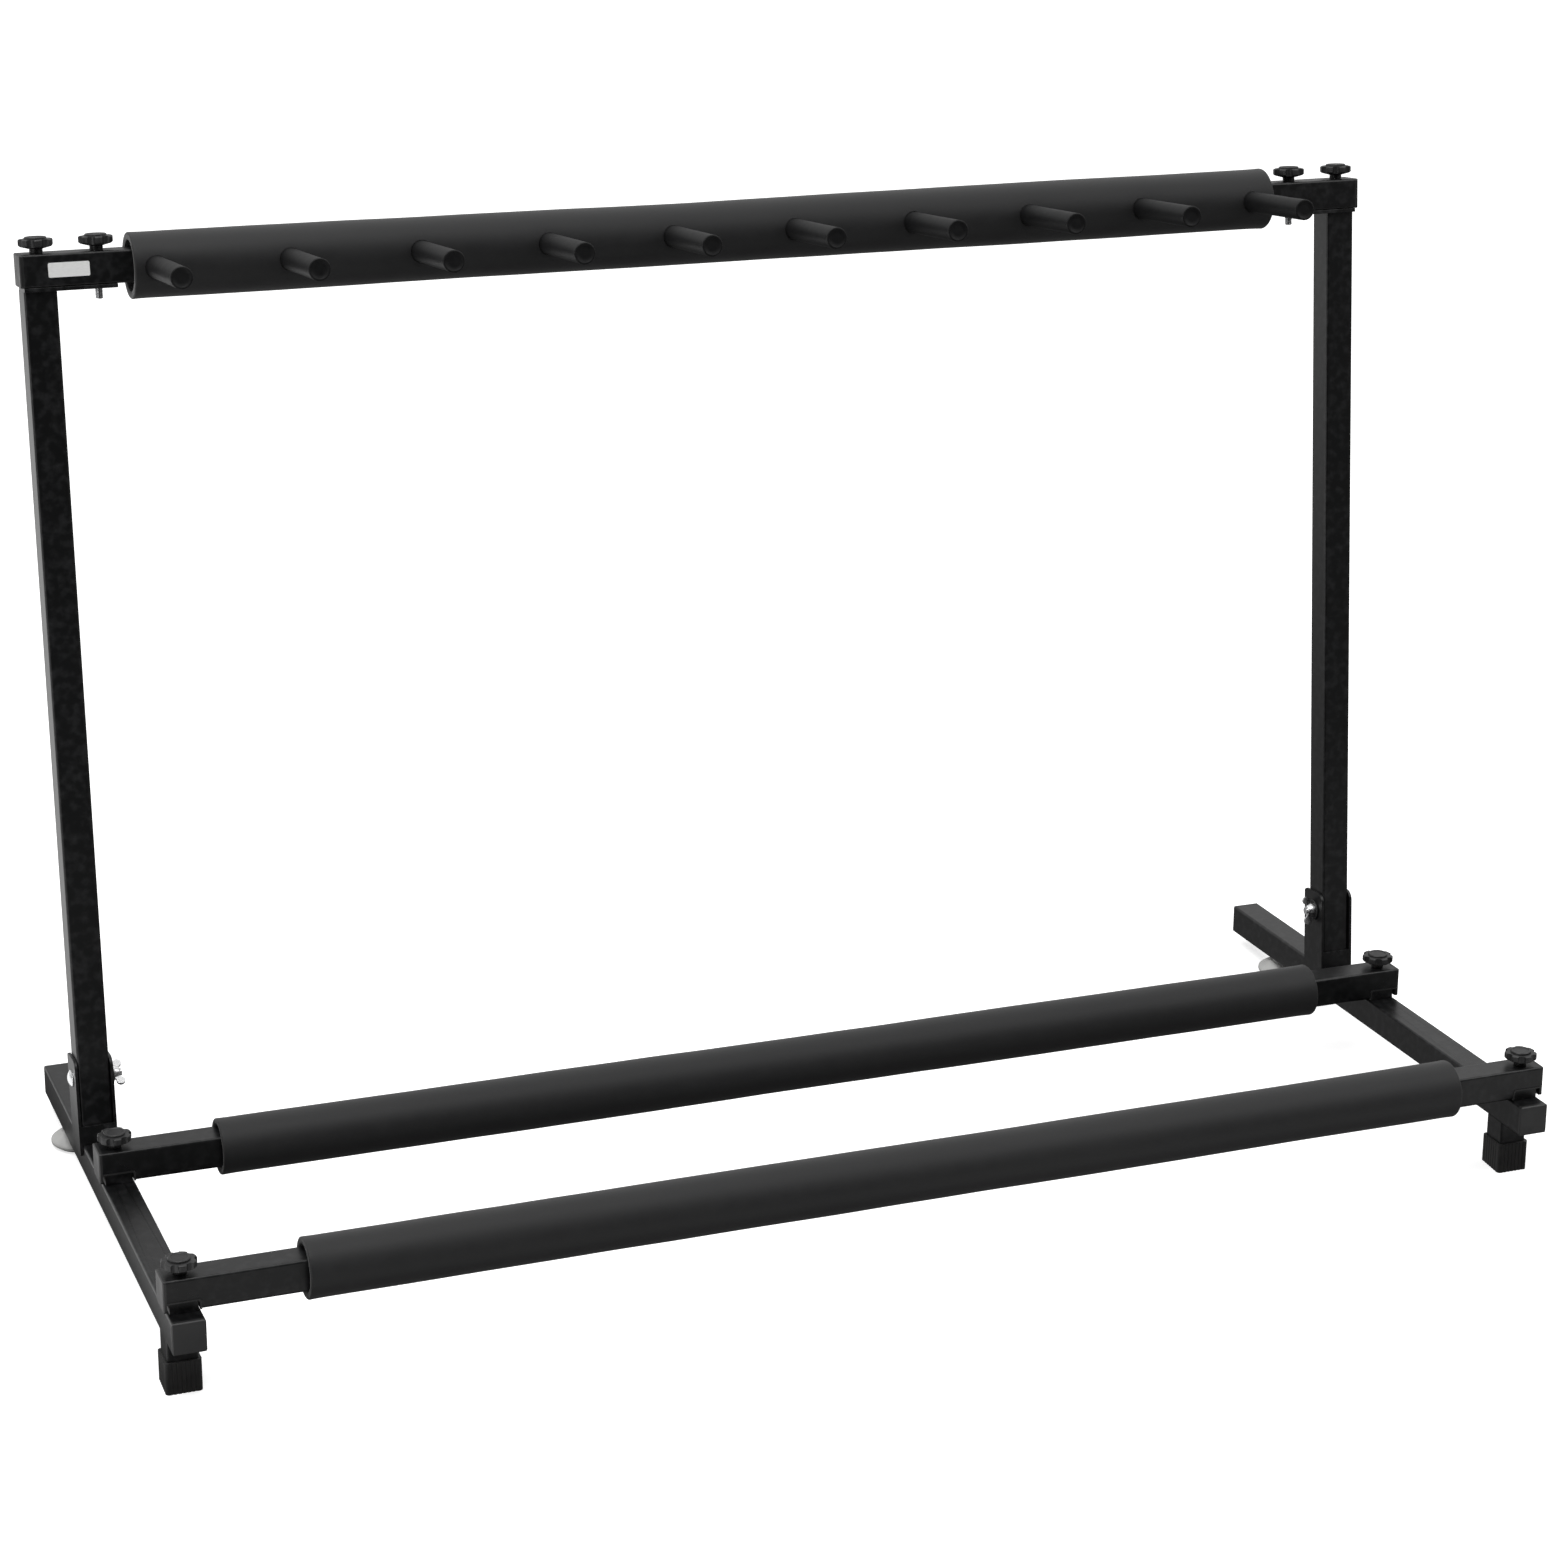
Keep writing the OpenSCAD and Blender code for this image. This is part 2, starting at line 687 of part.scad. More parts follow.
// Moves to a knob's seat: the bar's top face under it
module at_knob(k) {
    if (k[2] == "neck") neck_frame() translate([k[1], 0, bar_top]) children();
    else rail_frame()
        translate([k[1], k[2] == "front" ? front_bar_y : rear_bar_y, bar_lift + tube]) children();
}

module knob_outline() {
    difference() {
        circle(d = knob_d, $fn = 96);
        for (i = [0 : knob_lobes - 1]) rotate(90 + i * 360 / knob_lobes)
            translate([knob_d / 2 - knob_scoop_depth + knob_scoop_r, 0])
                circle(r = knob_scoop_r, $fn = 32);
    }
}

module knob(k) {
    r = knob_d / 2;
    low = knob_h - knob_rim_h;
    shoulder = knob_h - knob_boss_h;
    boss_r = r * 0.64;
    color(PLASTIC) at_knob(k) translate([0, 0, knob_seat_gap]) difference() {
        union() {
            intersection() {
                linear_extrude(knob_h) knob_outline();
                rotate_extrude($fn = 96)
                    polygon([[0, knob_stem_h], [knob_stem_d / 2 + 1, knob_stem_h], [r - 1.2, low],
                             [r, low + 1], [r, shoulder - 1], [r - 0.35, shoulder - 0.35],
                             [r - 1, shoulder], [0, shoulder]]);
            }
            rotate_extrude($fn = 96)
                polygon([[0, shoulder - 1], [boss_r, shoulder - 1], [boss_r, knob_h - 0.6],
                         [boss_r - 0.6, knob_h], [0, knob_h]]);
            cylinder(d = knob_stem_d, h = knob_stem_h + 1, $fn = arc);
        }
        // Shallow dish in the raised centre
        translate([0, 0, knob_h]) rotate_extrude($fn = 96)
            polygon([[0, -0.5], [boss_r - 2.2, -0.5], [boss_r - 1.6, 0], [boss_r - 1.4, 1], [0, 1]]);
        translate([0, 0, -1]) cylinder(d = screw_d + 2 * snug, h = knob_grip + 1, $fn = arc);
    }
}

function screw_reach(k) =
    k[2] == "neck" ? tube + top_plate_t + screw_tip : bar_lift + tube - seat_screw_end;

module screw(k) {
    point = 0.8;
    reach = screw_reach(k);
    r = screw_d / 2;
    turns = k[2] == "neck" ? floor((screw_tip - 1.5) / thread_pitch) : 0;
    thread = [for (i = [0 : 1 : turns - 1], part = [0, 1])
        [r - (part == 0 ? 0 : thread_depth), 1 - reach + (i + part / 2) * thread_pitch]];
    color(ZINC) at_knob(k) translate([0, 0, knob_seat_gap]) rotate_extrude($fn = arc)
        polygon(concat([[0, -reach], [r - point, -reach], [r, point - reach]], thread,
                       [[r, 1 - reach + turns * thread_pitch], [r, knob_grip], [0, knob_grip]]));
}

// ---------- nodes ----------

rail(-1);  // rail_left
rail(1);  // rail_right
rail_plugs();
front_leg(-1);  // front_leg_left
front_leg(1);  // front_leg_right
front_foot(-1);  // front_foot_left
front_foot(1);  // front_foot_right
rear_foot(-1);  // rear_foot_left
rear_foot(1);  // rear_foot_right
rear_foot_pads();
rear_foot_screws();
pivot_bracket(-1);  // pivot_bracket_left
pivot_bracket(1);  // pivot_bracket_right
pivot_bolt(-1);  // pivot_bolt_left
pivot_bolt(1);  // pivot_bolt_right
pivot_washers();
wing_nut(-1);  // wing_nut_left
wing_nut(1);  // wing_nut_right
bar_seats();
cross_bar(front_bar_y);  // front_bar
cross_bar(rear_bar_y);  // rear_bar
bar_caps(front_bar_y);  // front_bar_caps
bar_caps(rear_bar_y);  // rear_bar_caps
bar_pad(front_bar_y, front_pad_len, front_pad_shift);  // front_bar_pad
bar_pad(rear_bar_y, rear_pad_len, rear_pad_shift);  // rear_bar_pad
upright(-1);  // upright_left
upright(1);  // upright_right
top_plate(-1);  // top_plate_left
top_plate(1);  // top_plate_right
neck_bar();
neck_bar_plugs();
neck_bar_pad();
peg_rods();
blank_label();
for (i = [1 : peg_count])
    peg_sleeve(i);
for (k = KNOBS) {
    knob(k);
    screw(k);
}
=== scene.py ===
import bpy, bmesh, json, math
from mathutils import Vector, Matrix, noise


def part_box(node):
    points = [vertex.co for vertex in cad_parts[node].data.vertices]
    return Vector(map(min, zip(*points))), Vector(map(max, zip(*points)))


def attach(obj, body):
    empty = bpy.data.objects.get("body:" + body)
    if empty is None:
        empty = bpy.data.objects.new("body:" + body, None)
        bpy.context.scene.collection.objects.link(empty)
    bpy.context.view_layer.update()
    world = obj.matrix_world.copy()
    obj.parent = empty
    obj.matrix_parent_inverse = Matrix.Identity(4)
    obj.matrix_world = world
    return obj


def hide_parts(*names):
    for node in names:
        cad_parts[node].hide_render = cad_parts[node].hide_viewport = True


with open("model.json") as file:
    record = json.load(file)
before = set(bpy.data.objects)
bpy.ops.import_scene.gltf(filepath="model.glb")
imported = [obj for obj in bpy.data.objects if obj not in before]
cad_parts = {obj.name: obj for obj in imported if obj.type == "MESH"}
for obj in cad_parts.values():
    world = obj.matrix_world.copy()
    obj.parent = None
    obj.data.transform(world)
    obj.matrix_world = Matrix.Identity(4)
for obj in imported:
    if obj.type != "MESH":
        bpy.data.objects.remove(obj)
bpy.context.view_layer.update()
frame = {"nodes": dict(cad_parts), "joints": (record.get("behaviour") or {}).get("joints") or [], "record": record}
nodes = frame["nodes"]
MM = 0.001
PEG_COUNT = 10

# ---------------------------------------------------------------- materials


class Nodes:
    """A small helper for building a procedural material."""

    def __init__(self, name, **sockets):
        self.mat = bpy.data.materials.new(name)
        self.mat.use_nodes = True
        self.tree = self.mat.node_tree
        self.bsdf = self.tree.nodes["Principled BSDF"]
        for key, value in sockets.items():
            self.bsdf.inputs[key.replace("_", " ")].default_value = value
        self.coords = self.tree.nodes.new("ShaderNodeTexCoord").outputs["Object"]

    def add(self, kind, **values):
        node = self.tree.nodes.new("ShaderNode" + kind)
        for key, value in values.items():
            name = key.replace("_", " ")
            if name in node.inputs:
                node.inputs[name].default_value = value
            else:
                setattr(node, key, value)
        return node

    def link(self, a, b):
        self.tree.links.new(a, b)

    def stretched(self, scale):
        m = self.add("Mapping")
        m.inputs["Scale"].default_value = scale
        self.link(self.coords, m.inputs["Vector"])
        return m.outputs["Vector"]

    def noise(self, scale, detail=2.0, rough=0.5, vector=None):
        n = self.add("TexNoise", Scale=scale, Detail=detail, Roughness=rough)
        self.link(vector or self.coords, n.inputs["Vector"])
        return n.outputs["Fac"]

    def cells(self, scale, vector=None):
        n = self.add("TexVoronoi", Scale=scale)
        self.link(vector or self.coords, n.inputs["Vector"])
        return n.outputs["Distance"]

    def ramp(self, fac, *stops):
        r = self.add("ValToRGB")
        while len(r.color_ramp.elements) < len(stops):
            r.color_ramp.elements.new(0.5)
        for e, (pos, colour) in zip(r.color_ramp.elements, stops):
            e.position = pos
            e.color = (*colour, 1)
        self.link(fac, r.inputs["Fac"])
        return r.outputs["Color"]

    def span(self, fac, low, high, a=0.0, b=1.0):
        m = self.add("MapRange")
        m.inputs["From Min"].default_value = a
        m.inputs["From Max"].default_value = b
        m.inputs["To Min"].default_value = low
        m.inputs["To Max"].default_value = high
        self.link(fac, m.inputs["Value"])
        return m.outputs["Result"]

    def mix(self, fac, a, b):
        m = self.add("Mix", data_type="RGBA")
        if hasattr(fac, "links"):
            self.link(fac, m.inputs["Factor"])
        else:
            m.inputs["Factor"].default_value = fac
        for value, socket in ((a, m.inputs[6]), (b, m.inputs[7])):
            if hasattr(value, "links"):
                self.link(value, socket)
            else:
                socket.default_value = (*value, 1)
        return m.outputs[2]

    def maths(self, op, a, b):
        m = self.add("Math", operation=op)
        for value, socket in ((a, m.inputs[0]), (b, m.inputs[1])):
            if hasattr(value, "links"):
                self.link(value, socket)
            else:
                socket.default_value = value
        return m.outputs[0]

    def colour(self, value):
        self.link(value, self.bsdf.inputs["Base Color"])

    def rough(self, value):
        self.link(value, self.bsdf.inputs["Roughness"])

    def bump(self, *layers):
        """Each layer is (height, strength, depth in metres), from coarse to fine."""
        last = None
        for height, strength, depth in layers:
            b = self.add("Bump", Strength=strength, Distance=depth)
            self.link(height, b.inputs["Height"])
            if last is not None:
                self.link(last, b.inputs["Normal"])
            last = b.outputs["Normal"]
        self.link(last, self.bsdf.inputs["Normal"])


def edges(m, low=0.505, high=0.56):
    """How much a spot is worn: 1 on outer edges, 0 elsewhere."""
    g = m.add("NewGeometry")
    return m.span(g.outputs["Pointiness"], 0.0, 1.0, low, high)


def black_paint():
    m = Nodes("black_powder_coat", Specular_IOR_Level=0.42)
    cloud = m.noise(9.0, 4.0, 0.6)
    grain = m.noise(2600.0, 2.0)
    peel = m.noise(420.0, 2.0)
    worn = m.maths("MULTIPLY", edges(m), m.span(m.noise(160.0, 3.0), 0.0, 1.0, 0.45, 0.75))
    base = m.ramp(cloud, (0.3, (0.0034, 0.0035, 0.0037)), (0.7, (0.0044, 0.0045, 0.0048)))
    m.colour(m.mix(m.maths("MULTIPLY", worn, 0.5), base, (0.06, 0.06, 0.063)))
    dust = m.span(m.noise(38.0, 5.0, 0.7), 0.342, 0.352, 0.3, 0.75)
    m.rough(m.maths("ADD", dust, m.span(grain, -0.03, 0.03)))
    m.bump((peel, 0.05, 0.00010), (grain, 0.12, 0.00003))
    return m.mat


def black_plastic():
    m = Nodes("black_moulded_plastic", Specular_IOR_Level=0.5)
    cloud = m.noise(40.0, 3.0)
    spark = m.noise(3000.0, 1.0)
    worn = m.maths("MULTIPLY", edges(m), 0.35)
    base = m.ramp(cloud, (0.3, (0.0085, 0.0085, 0.009)), (0.7, (0.013, 0.013, 0.0135)))
    m.colour(m.mix(worn, base, (0.05, 0.05, 0.05)))
    m.rough(m.span(m.noise(90.0, 4.0), 0.36, 0.5, 0.3, 0.7))
    m.bump((m.noise(260.0, 2.0), 0.06, 0.0001), (spark, 0.2, 0.00004))
    return m.mat


def black_rubber():
    m = Nodes("black_rubber", Specular_IOR_Level=0.5)
    dust = m.span(m.noise(120.0, 6.0, 0.7), 0.0, 1.0, 0.42, 0.75)
    m.colour(m.mix(dust, (0.022, 0.022, 0.022), (0.038, 0.037, 0.036)))
    m.rough(m.span(dust, 0.55, 0.8))
    m.bump((m.noise(700.0, 3.0), 0.2, 0.00006), (m.cells(2400.0), 0.15, 0.00003))
    return m.mat


def foam():
    m = Nodes("black_foam", Specular_IOR_Level=0.30, Sheen_Weight=0.14, Sheen_Roughness=0.5)
    drift = m.noise(11.0, 3.0, vector=m.stretched((0.35, 1, 1)))
    blotch = m.noise(75.0, 4.0, 0.65)
    pores = m.cells(1500.0)
    skin = m.noise(900.0, 3.0)
    base = m.ramp(drift, (0.25, (0.0130, 0.0132, 0.0138)), (0.75, (0.0170, 0.0171, 0.0176)))
    m.colour(m.mix(m.span(blotch, 0.0, 0.4, 0.4, 0.75), base, (0.023, 0.023, 0.0235)))
    m.rough(m.span(blotch, 0.50, 0.60, 0.25, 0.75))
    m.bump((m.noise(55.0, 3.0), 0.12, 0.0006), (skin, 0.25, 0.00008), (pores, 0.3, 0.00005))
    return m.mat


def peg_foam():
    m = Nodes("black_peg_foam", Specular_IOR_Level=0.22)
    blotch = m.noise(160.0, 4.0, 0.65)
    m.colour(m.ramp(blotch, (0.3, (0.0055, 0.0056, 0.0060)), (0.7, (0.0085, 0.0086, 0.0090))))
    m.rough(m.span(blotch, 0.46, 0.56, 0.25, 0.75))
    m.bump((m.noise(140.0, 3.0), 0.12, 0.0003), (m.noise(1100.0, 3.0), 0.2, 0.00006),
           (m.cells(1800.0), 0.2, 0.00004))
    return m.mat


def zinc():
    m = Nodes("bright_zinc_plate", Metallic=1.0)
    tint = m.noise(180.0, 3.0)
    m.colour(m.ramp(tint, (0.3, (0.74, 0.75, 0.76)), (0.7, (0.88, 0.88, 0.88))))
    m.rough(m.span(m.noise(500.0, 4.0), 0.20, 0.34, 0.3, 0.7))
    m.bump((m.noise(350.0, 2.0), 0.12, 0.0001), (m.noise(3000.0, 2.0), 0.1, 0.00002))
    return m.mat


def grey_plastic():
    m = Nodes("grey_foot_plastic", Specular_IOR_Level=0.5)
    m.colour(m.ramp(m.noise(60.0, 4.0), (0.3, (0.50, 0.50, 0.49)), (0.7, (0.60, 0.60, 0.585))))
    m.rough(m.span(m.noise(150.0, 3.0), 0.32, 0.48, 0.3, 0.7))
    m.bump((m.noise(900.0, 2.0), 0.1, 0.00005))
    return m.mat


def label_paper():
    m = Nodes("white_label", Specular_IOR_Level=0.45, Coat_Weight=0.2, Coat_Roughness=0.25)
    fibre = m.noise(900.0, 3.0, vector=m.stretched((0.4, 1, 1)))
    m.colour(m.ramp(fibre, (0.3, (0.88, 0.88, 0.87)), (0.7, (0.94, 0.94, 0.93))))
    m.rough(m.span(fibre, 0.38, 0.5))
    m.bump((fibre, 0.08, 0.00003))
    return m.mat


FINISH = {
    "black_steel": black_paint(),
    "black_plastic": black_plastic(),
    "black_rubber": black_rubber(),
    "foam": foam(),
    "peg_foam": peg_foam(),
    "zinc_plated": zinc(),
    "grey_plastic": grey_plastic(),
    "white_label": label_paper(),
}

slot_of = {s["node"]: s["material_slot"] for s in frame["record"]["subparts"]}

# Edge rounding in mm for the carried-over parts, by the slot they wear
ROUND = {"black_steel": 0.25, "black_plastic": 0.45, "black_rubber": 0.35, "zinc_plated": 0.25,
         "grey_plastic": 0.3, "white_label": 0.0, "foam": 0.0}


def dress(obj, material, rounding):
    obj.data.materials.clear()
    obj.data.materials.append(material)
    for p in obj.data.polygons:
        p.material_index = 0
        p.use_smooth = True
    if rounding:
        weld = obj.modifiers.new("weld", "WELD")
        weld.merge_threshold = 0.000002
        bevel = obj.modifiers.new("edges", "BEVEL")
        bevel.width = rounding * MM
        bevel.segments = 2
        bevel.limit_method = "ANGLE"
        bevel.angle_limit = math.radians(38)
        bevel.use_clamp_overlap = True
        even = obj.modifiers.new("even_normals", "WEIGHTED_NORMAL")
        even.keep_sharp = False
        even.weight = 100


for name, obj in nodes.items():
    slot = slot_of[name]
    dress(obj, FINISH[slot], ROUND[slot])

# ---------------------------------------------------------------- frames of the CAD parts

joint = {j["name"]: j for j in frame["joints"]}
MAST_UP = Vector(joint["knob_top_outer_left_turn"]["axis"]).normalized()
ACROSS = Vector((1, 0, 0))
PEG_OUT = -MAST_UP.cross(ACROSS).normalized()


def body_of(name):
    for body, members in frame["record"]["behaviour"]["bodies"].items():
        if name in members:
            return body


def mesh_object(name, bm, material, body):
    bmesh.ops.recalc_face_normals(bm, faces=bm.faces)
    me = bpy.data.meshes.new(name)
    bm.to_mesh(me)
    bm.free()
    me.materials.append(material)
    for p in me.polygons:
        p.use_smooth = True
    obj = bpy.data.objects.new(name, me)
    bpy.context.scene.collection.objects.link(obj)
    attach(obj, body)
    return obj


def lathe(bm, origin, axis, side, profile, count, shape=None, closed=False):
    """Turns a profile of (distance along axis, radius) about axis. shape(along, angle, r) may bend it."""
    other = axis.cross(side)
    rings = []
    for along, r in profile:
        ring = []
        for k in range(count):
            a = 2 * math.pi * k / count
            rr = shape(along, a, r) if shape else r
            spoke = side * math.cos(a) + other * math.sin(a)
            ring.append(bm.verts.new(origin + axis * along + spoke * rr))
        rings.append(ring)
    pairs = list(zip(rings, rings[1:]))
    if closed:
        pairs.append((rings[-1], rings[0]))
    for a, b in pairs:
        for k in range(count):
            bm.faces.new((a[k], a[(k + 1) % count], b[(k + 1) % count], b[k]))
    if not closed:
        bm.faces.new(rings[0][::-1])
        bm.faces.new(rings[-1])


def spread(a, b, step):
    n = max(1, round(abs(b - a) / step))
    return [a + (b - a) * i / n for i in range(n + 1)]


def arc(cx, cr, r, start, end, n):
    """Points of a rounded corner in the profile plane, angles in degrees."""
    out = []
    for i in range(n + 1):
        t = math.radians(start + (end - start) * i / n)
        out.append((cx + r * math.cos(t), cr + r * math.sin(t)))
    return out


# ---------------------------------------------------------------- foam sleeves

def sleeve(name, node, wall, seed, dents=(), grow=0.0, lift=0.0, dips=()):
    """A foam tube on a bar, with a slightly uneven wall.

    dents are (x, angle) of the dimples round the pegs, dips are (x, width, depth) of places where
    the top sags, and grow and lift fatten and raise the whole sleeve.
    """
    lo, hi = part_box(node)
    mid = (lo + hi) / 2
    r = (hi.z - lo.z) / 2
    half = (hi.x - lo.x) / 2
    lip = 1.3 * MM
    bore = r - wall
    r += grow
    mid.z += lift

    def shape(along, a, radius):
        p = Vector((along * 6.0, math.cos(a) * 0.35, math.sin(a) * 0.35 + seed * 7.3))
        wave = noise.noise(p) * 0.55 * MM + noise.noise(p * 3.1) * 0.22 * MM
        # The ends flare a little.
        near_end = max(0.0, 1.0 - (half - abs(along)) / (14 * MM))
        flare = near_end * near_end * 0.35 * MM
        rr = radius + (wave + flare if radius > bore + 0.2 * MM else wave * 0.4)
        for x, width, depth in dips:
            if radius > bore + 0.2 * MM:
                rr -= depth * max(0.0, math.cos(a)) * math.exp(-((mid.x + along - x) / width) ** 2)
        for x, angle in dents:
            dx = (mid.x + along - x)
            da = (a - angle + math.pi) % (2 * math.pi) - math.pi
            d2 = dx * dx + (da * r) ** 2
            if radius > bore + 0.2 * MM:
                rr -= 1.1 * MM * math.exp(-d2 / (2 * (8.5 * MM) ** 2))
        return min(rr, r + 0.45 * MM)

    outer = spread(-half + lip, half - lip, 5 * MM)
    inner = spread(half - 0.6 * MM, -half + 0.6 * MM, 24 * MM)
    prof = arc(-half + lip, r - lip, lip, 180, 90, 4)[:-1] + [(x, r) for x in outer]
    prof += arc(half - lip, r - lip, lip, 90, 0, 4)[1:]
    prof += [(half, bore + 0.6 * MM)] + [(x, bore) for x in inner] + [(-half, bore + 0.6 * MM)]
    bm = bmesh.new()
    lathe(bm, mid, ACROSS, Vector((0, 0, 1)), prof, 72, shape, closed=True)
    obj = mesh_object(name, bm, FINISH["foam"], body_of(node))
    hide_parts(node)
    return obj


BAR_WALL = 3.9 * MM
NECK_WALL = 5.4 * MM
PEG_HOLE_AIR = 0.25 * MM
CUT_DEPTH = 60 * MM
sleeve("foam_sleeve_front", "front_bar_pad", BAR_WALL, 1, grow=0.9 * MM, lift=0.6 * MM)
sleeve("foam_sleeve_rear", "rear_bar_pad", BAR_WALL, 2)

# Pegs: where each one is, from its own CAD box
tilt = math.asin(PEG_OUT.z)
pegs = []
for i in range(1, PEG_COUNT + 1):
    lo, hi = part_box(f"peg_sleeve_{i}")
    r = (hi.x - lo.x) / 2
    length = ((hi.y - lo.y) - 2 * r * math.sin(tilt)) / math.cos(tilt)
    pegs.append(((lo + hi) / 2, r, length))

# In the lathe's own frame, angle 0 is up (+Z) and the other axis is X cross Z = -Y
peg_angle = math.atan2(PEG_OUT.dot(ACROSS.cross(Vector((0, 0, 1)))), PEG_OUT.z)
neck_sleeve = sleeve("foam_sleeve_neck", "neck_bar_pad", NECK_WALL, 3,
                     dents=[(c.x, peg_angle) for c, r, length in pegs],
                     dips=[(-0.06, 0.13, 1.4 * MM)])

# Holes through the neck sleeve, one for each peg
bm = bmesh.new()
for c, r, length in pegs:
    start = c - PEG_OUT * (length / 2 + 2 * MM)
    hole = r + PEG_HOLE_AIR
    lathe(bm, start, PEG_OUT, ACROSS, [(0, hole), (CUT_DEPTH, hole)], 40)
bmesh.ops.recalc_face_normals(bm, faces=bm.faces)
me = bpy.data.meshes.new("cutters")
bm.to_mesh(me)
bm.free()
cutter = bpy.data.objects.new("cutters", me)
bpy.context.scene.collection.objects.link(cutter)
cut = neck_sleeve.modifiers.new("holes", "BOOLEAN")
cut.operation = "DIFFERENCE"
cut.solver = "EXACT"
cut.object = cutter
bpy.context.view_layer.update()
done = bpy.data.meshes.new_from_object(neck_sleeve.evaluated_get(bpy.context.evaluated_depsgraph_get()))
neck_sleeve.modifiers.clear()
neck_sleeve.data = done
neck_sleeve.data.materials.clear()
neck_sleeve.data.materials.append(FINISH["foam"])
for p in neck_sleeve.data.polygons:
    p.material_index = 0
    p.use_smooth = True
bpy.data.objects.remove(cutter)
neck_sleeve.modifiers.new("crisp", "EDGE_SPLIT").split_angle = math.radians(50)

for i, (c, r, length) in enumerate(pegs, 1):
    start = c - PEG_OUT * length / 2
    lip = 0.9 * MM

    def shape(along, a, radius, i=i):
        p = Vector((along * 25.0, math.cos(a) * 0.5, math.sin(a) * 0.5 + i * 3.7))
        return radius + (noise.noise(p) * 0.18 * MM if radius > 4 * MM else 0.0)

    prof = [(0.0, r)] + [(x, r) for x in spread(2 * MM, length - lip, 4 * MM)]
    prof += arc(length - lip, r - lip, lip, 90, 0, 4)[1:]
    # The end is a pressed-in disc with a thin rim round it
    prof += [(length, r - 1.5 * MM), (length - 0.5 * MM, r - 1.9 * MM), (length - 0.45 * MM, r * 0.4)]
    prof += [(length - 0.42 * MM, 0.6 * MM)]
    bm = bmesh.new()
    lathe(bm, start, PEG_OUT, ACROSS, prof, 48, shape)
    obj = mesh_object(f"foam_peg_{i}", bm, FINISH["peg_foam"], body_of(f"peg_sleeve_{i}"))
    obj.modifiers.new("crisp", "EDGE_SPLIT").split_angle = math.radians(60)
    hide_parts(f"peg_sleeve_{i}")

# ---------------------------------------------------------------- camera

cam = bpy.data.objects.new("camera", bpy.data.cameras.new("camera"))
bpy.context.scene.collection.objects.link(cam)
cam.data.sensor_width = 36
cam.data.lens = 85.49
cam.data.shift_x = -0.0228
cam.data.shift_y = -0.0573
cam.data.clip_end = 200
azimuth, elevation, roll = math.radians(-22.078), math.radians(20.737), math.radians(2.086)
back = Vector((math.sin(azimuth) * math.cos(elevation),
               -math.cos(azimuth) * math.cos(elevation),
               math.sin(elevation)))
level = Vector((0, 0, 1)).cross(back).normalized()
top = back.cross(level)
right = level * math.cos(roll) + top * math.sin(roll)
up = back.cross(right)
cam.matrix_world = Matrix((right, up, back)).transposed().to_4x4()
cam.location = (-1.0134, -2.5251, 1.4273)
bpy.context.scene.camera = cam

# ---------------------------------------------------------------- stage and light

scene = bpy.context.scene
scene.view_settings.view_transform = "Standard"
scene.view_settings.look = "None"

bpy.ops.mesh.primitive_circle_add(vertices=96, radius=40, fill_type="NGON", location=(0, 0, 0))
floor = bpy.context.object
floor.name = "floor"
m = Nodes("pale_floor", Base_Color=(0.9, 0.9, 0.9, 1), Roughness=0.9, Specular_IOR_Level=0.0)
m.bsdf.inputs["Emission Color"].default_value = (1, 1, 1, 1)
m.bsdf.inputs["Emission Strength"].default_value = 0.62
floor.data.materials.append(m.mat)
floor.visible_glossy = False
floor.visible_diffuse = False

world = bpy.data.worlds.new("studio")
scene.world = world
world.use_nodes = True
wt = world.node_tree
for n in list(wt.nodes):
    wt.nodes.remove(n)


def wnode(kind, **kw):
    n = wt.nodes.new("ShaderNode" + kind)
    for k, v in kw.items():
        setattr(n, k, v)
    return n


def wrange(value, a, b, low, high):
    n = wnode("MapRange")
    for key, v in (("From Min", a), ("From Max", b), ("To Min", low), ("To Max", high)):
        n.inputs[key].default_value = v
    wt.links.new(value, n.inputs["Value"])
    return n.outputs["Result"]


def wmath(op, a, b):
    n = wnode("Math", operation=op)
    for value, s in ((a, n.inputs[0]), (b, n.inputs[1])):
        if hasattr(value, "links"):
            wt.links.new(value, s)
        else:
            s.default_value = value
    return n.outputs[0]


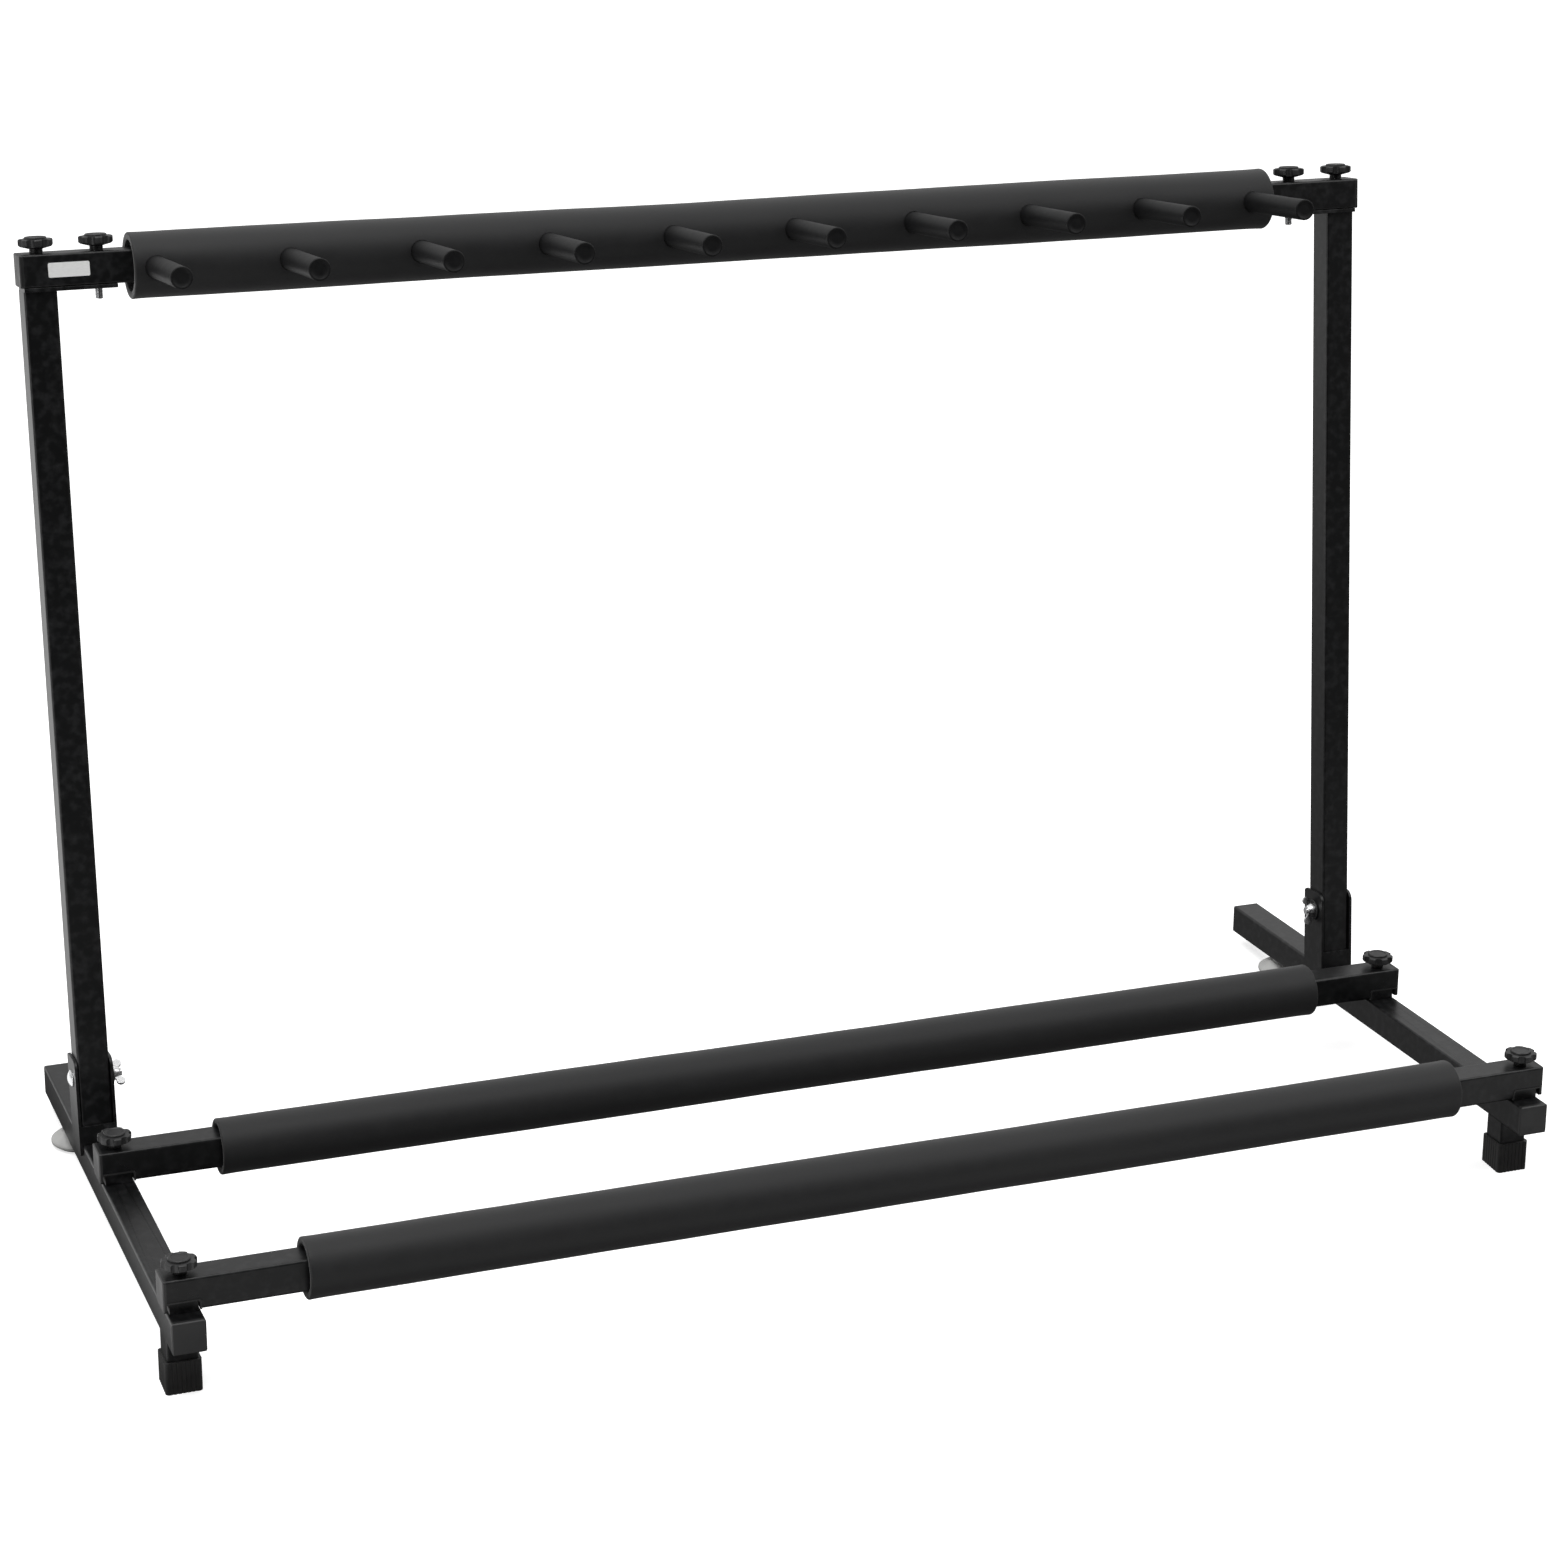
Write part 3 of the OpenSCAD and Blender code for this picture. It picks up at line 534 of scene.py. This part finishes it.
coord = wnode("TexCoord")
xyz = wnode("SeparateXYZ")
wt.links.new(coord.outputs["Generated"], xyz.inputs[0])
behind = wrange(xyz.outputs["Y"], -0.35, 0.55, 0.0, 1.0)
high = wrange(xyz.outputs["Z"], -0.32, 0.15, 0.06, 0.56)
zenith = wrange(xyz.outputs["Z"], 0.40, 0.95, 0.0, 0.75)
to_right = wrange(xyz.outputs["X"], 0.15, 0.55, 0.01, 0.15)
to_left = wrange(xyz.outputs["X"], -0.30, -0.55, 0.0, 0.30)
from_behind = wmath("MULTIPLY", behind, wmath("ADD", high, to_left))
glow = wmath("ADD", wmath("ADD", from_behind, to_right), zenith)
bg = wnode("Background")
bg.inputs["Color"].default_value = (1, 1, 1, 1)
wt.links.new(glow, bg.inputs["Strength"])
pale = wnode("Background")
pale.inputs["Color"].default_value = (0.965, 0.965, 0.965, 1)
ray = wnode("LightPath")
pick = wnode("MixShader")
out = wnode("OutputWorld")
wt.links.new(ray.outputs["Is Camera Ray"], pick.inputs[0])
wt.links.new(bg.outputs[0], pick.inputs[1])
wt.links.new(pale.outputs[0], pick.inputs[2])
wt.links.new(pick.outputs[0], out.inputs[0])


def softbox(name, at, aim, size, power):
    light = bpy.data.lights.new(name, "AREA")
    light.shape = "RECTANGLE"
    light.size, light.size_y = size
    light.energy = power
    obj = bpy.data.objects.new(name, light)
    scene.collection.objects.link(obj)
    obj.location = at
    obj.rotation_mode = "QUATERNION"
    obj.rotation_quaternion = (Vector(aim) - Vector(at)).to_track_quat("-Z", "Y")
    obj.visible_camera = False
    return obj


softbox("key", (-0.9, -0.7, 3.2), (0, 0, 0.3), (1.8, 1.4), 36)
softbox("fill", (2.2, -1.2, 2.4), (0, 0, 0.3), (1.8, 1.8), 18)
softbox("floor_card", (-2.05, 0.9, 0.01), (-2.05, 0.9, 2.0), (2.9, 4.4), 40)
softbox("left_side", (-2.6, -1.2, 0.8), (0.4, 0.1, 0.2), (1.2, 1.2), 9)
softbox("front_card", (0.1, -0.52, 0.005), (0.1, -0.52, 2.0), (2.4, 0.44), 1.8)
